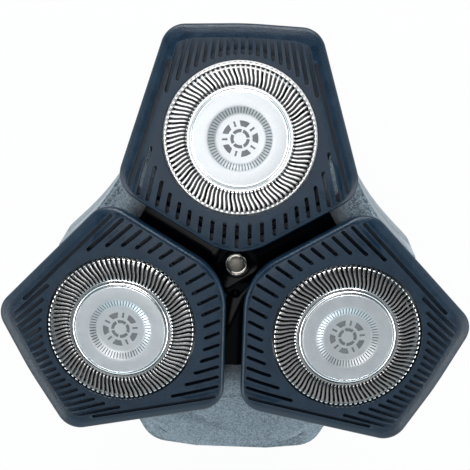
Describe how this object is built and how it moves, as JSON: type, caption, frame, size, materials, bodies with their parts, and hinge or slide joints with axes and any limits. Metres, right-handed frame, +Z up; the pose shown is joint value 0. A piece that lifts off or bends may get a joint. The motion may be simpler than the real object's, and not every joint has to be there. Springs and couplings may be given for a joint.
{
  "type": "rotary shaver head",
  "caption": "Rotary shaving unit: three rocking pods with slotted ring guards and spinning cutters on a lift-off holder over a hair chamber with its gear train and round stem.",
  "frame": {"origin": "centre of the stem's round foot, on the drive axis", "axes": "+Z up through the stem towards the shaving face, -Y towards the chin, +Y towards head 1"},
  "size_m": [0.0744, 0.0706, 0.0351],
  "materials": {
    "housing": "fine speckled texture",
    "cover_black": "satin",
    "screw_steel": "plain",
    "seal_rubber": "matt",
    "gear_plastic": "natural acetal",
    "spring_steel": "drawn wire",
    "gloss_black": "high gloss",
    "pin_chrome": "polished",
    "pod_navy": "fine grain",
    "guard_steel": "polished",
    "cap_silver": "satin",
    "blade_steel": "ground",
    "carrier_plastic": "plain",
    "retainer_plastic": "plain"
  },
  "bodies": {
    "chamber": {"chamber_shell": "housing", "gear_cover": "cover_black", "cover_screws": "screw_steel", "shaft_seal": "seal_rubber"},
    "input": {"drive_coupling": "gear_plastic", "centre_gear": "gear_plastic"},
    "holder": {"head_frame": "housing", "centre_cover": "gloss_black", "centre_pin": "pin_chrome"},
    "gear_1": {"drive_gear_1": "gear_plastic", "spindle_spring_1": "spring_steel"},
    "spindle_1": {"drive_spindle_1": "gear_plastic"},
    "pod_1": {"pod_1": "pod_navy", "cutter_retainer_1": "retainer_plastic"},
    "guard_1": {"guard_1": "guard_steel", "guard_cap_1": "cap_silver"},
    "cutter_1": {"cutter_1": "blade_steel", "cutter_carrier_1": "carrier_plastic"},
    "gear_2": {"drive_gear_2": "gear_plastic", "spindle_spring_2": "spring_steel"},
    "spindle_2": {"drive_spindle_2": "gear_plastic"},
    "pod_2": {"pod_2": "pod_navy", "cutter_retainer_2": "retainer_plastic"},
    "guard_2": {"guard_2": "guard_steel", "guard_cap_2": "cap_silver"},
    "cutter_2": {"cutter_2": "blade_steel", "cutter_carrier_2": "carrier_plastic"},
    "gear_3": {"drive_gear_3": "gear_plastic", "spindle_spring_3": "spring_steel"},
    "spindle_3": {"drive_spindle_3": "gear_plastic"},
    "pod_3": {"pod_3": "pod_navy", "cutter_retainer_3": "retainer_plastic"},
    "guard_3": {"guard_3": "guard_steel", "guard_cap_3": "cap_silver"},
    "cutter_3": {"cutter_3": "blade_steel", "cutter_carrier_3": "carrier_plastic"}
  },
  "joints": [
    {"name": "input_spin", "type": "hinge", "parent": "chamber", "child": "input", "pos_m": [0, 0, 0.013], "axis": [0, 0, 1], "continuous": true},
    {"name": "holder_lift", "type": "slide", "parent": "chamber", "child": "holder", "axis": [0, 0, 1], "range_m": [0, 0.03]},
    {"name": "gear_spin_1", "type": "hinge", "parent": "chamber", "child": "gear_1", "pos_m": [0, 0.02, 0.013], "axis": [0, 0, 1], "continuous": true},
    {"name": "spindle_slide_1", "type": "slide", "parent": "gear_1", "child": "spindle_1", "axis": [0, 0, -1], "range_m": [0, 0.0006], "deforming": ["spindle_spring_1"]},
    {"name": "pod_tilt_1", "type": "hinge", "parent": "holder", "child": "pod_1", "pos_m": [0, 0.02, 0.02843], "axis": [-1, 0, 0], "range_deg": [-5, 5], "stiffness_Nm_per_rad": 0.05},
    {"name": "guard_float_1", "type": "slide", "parent": "pod_1", "child": "guard_1", "axis": [0, -0.1045, -0.9945], "range_m": [0, 0.0006], "stiffness_N_per_m": 300, "springref_m": -0.001},
    {"name": "cutter_spin_1", "type": "hinge", "parent": "guard_1", "child": "cutter_1", "pos_m": [0, 0.02, 0.02843], "axis": [0, 0.1045, 0.9945], "continuous": true},
    {"name": "gear_spin_2", "type": "hinge", "parent": "chamber", "child": "gear_2", "pos_m": [-0.01732, -0.01, 0.013], "axis": [0, 0, 1], "continuous": true},
    {"name": "spindle_slide_2", "type": "slide", "parent": "gear_2", "child": "spindle_2", "axis": [0, 0, -1], "range_m": [0, 0.0006], "deforming": ["spindle_spring_2"]},
    {"name": "pod_tilt_2", "type": "hinge", "parent": "holder", "child": "pod_2", "pos_m": [-0.01732, -0.01, 0.02843], "axis": [0.5, -0.866, 0], "range_deg": [-5, 5], "stiffness_Nm_per_rad": 0.05},
    {"name": "guard_float_2", "type": "slide", "parent": "pod_2", "child": "guard_2", "axis": [0.0905, 0.0523, -0.9945], "range_m": [0, 0.0006], "stiffness_N_per_m": 300, "springref_m": -0.001},
    {"name": "cutter_spin_2", "type": "hinge", "parent": "guard_2", "child": "cutter_2", "pos_m": [-0.01732, -0.01, 0.02843], "axis": [-0.0905, -0.0523, 0.9945], "continuous": true},
    {"name": "gear_spin_3", "type": "hinge", "parent": "chamber", "child": "gear_3", "pos_m": [0.01732, -0.01, 0.013], "axis": [0, 0, 1], "continuous": true},
    {"name": "spindle_slide_3", "type": "slide", "parent": "gear_3", "child": "spindle_3", "axis": [0, 0, -1], "range_m": [0, 0.0006], "deforming": ["spindle_spring_3"]},
    {"name": "pod_tilt_3", "type": "hinge", "parent": "holder", "child": "pod_3", "pos_m": [0.01732, -0.01, 0.02843], "axis": [0.5, 0.866, 0], "range_deg": [-5, 5], "stiffness_Nm_per_rad": 0.05},
    {"name": "guard_float_3", "type": "slide", "parent": "pod_3", "child": "guard_3", "axis": [-0.0905, 0.0523, -0.9945], "range_m": [0, 0.0006], "stiffness_N_per_m": 300, "springref_m": -0.001},
    {"name": "cutter_spin_3", "type": "hinge", "parent": "guard_3", "child": "cutter_3", "pos_m": [0.01732, -0.01, 0.02843], "axis": [0.0905, -0.0523, 0.9945], "continuous": true}
  ],
  "couplings": [
    {"joint": "gear_spin_1", "follows": "input_spin", "ratio": -3},
    {"joint": "cutter_spin_1", "follows": "input_spin", "ratio": -3},
    {"joint": "spindle_slide_1", "follows": "guard_float_1", "ratio": 1},
    {"joint": "gear_spin_2", "follows": "input_spin", "ratio": -3},
    {"joint": "cutter_spin_2", "follows": "input_spin", "ratio": -3},
    {"joint": "spindle_slide_2", "follows": "guard_float_2", "ratio": 1},
    {"joint": "gear_spin_3", "follows": "input_spin", "ratio": -3},
    {"joint": "cutter_spin_3", "follows": "input_spin", "ratio": -3},
    {"joint": "spindle_slide_3", "follows": "guard_float_3", "ratio": 1}
  ]
}
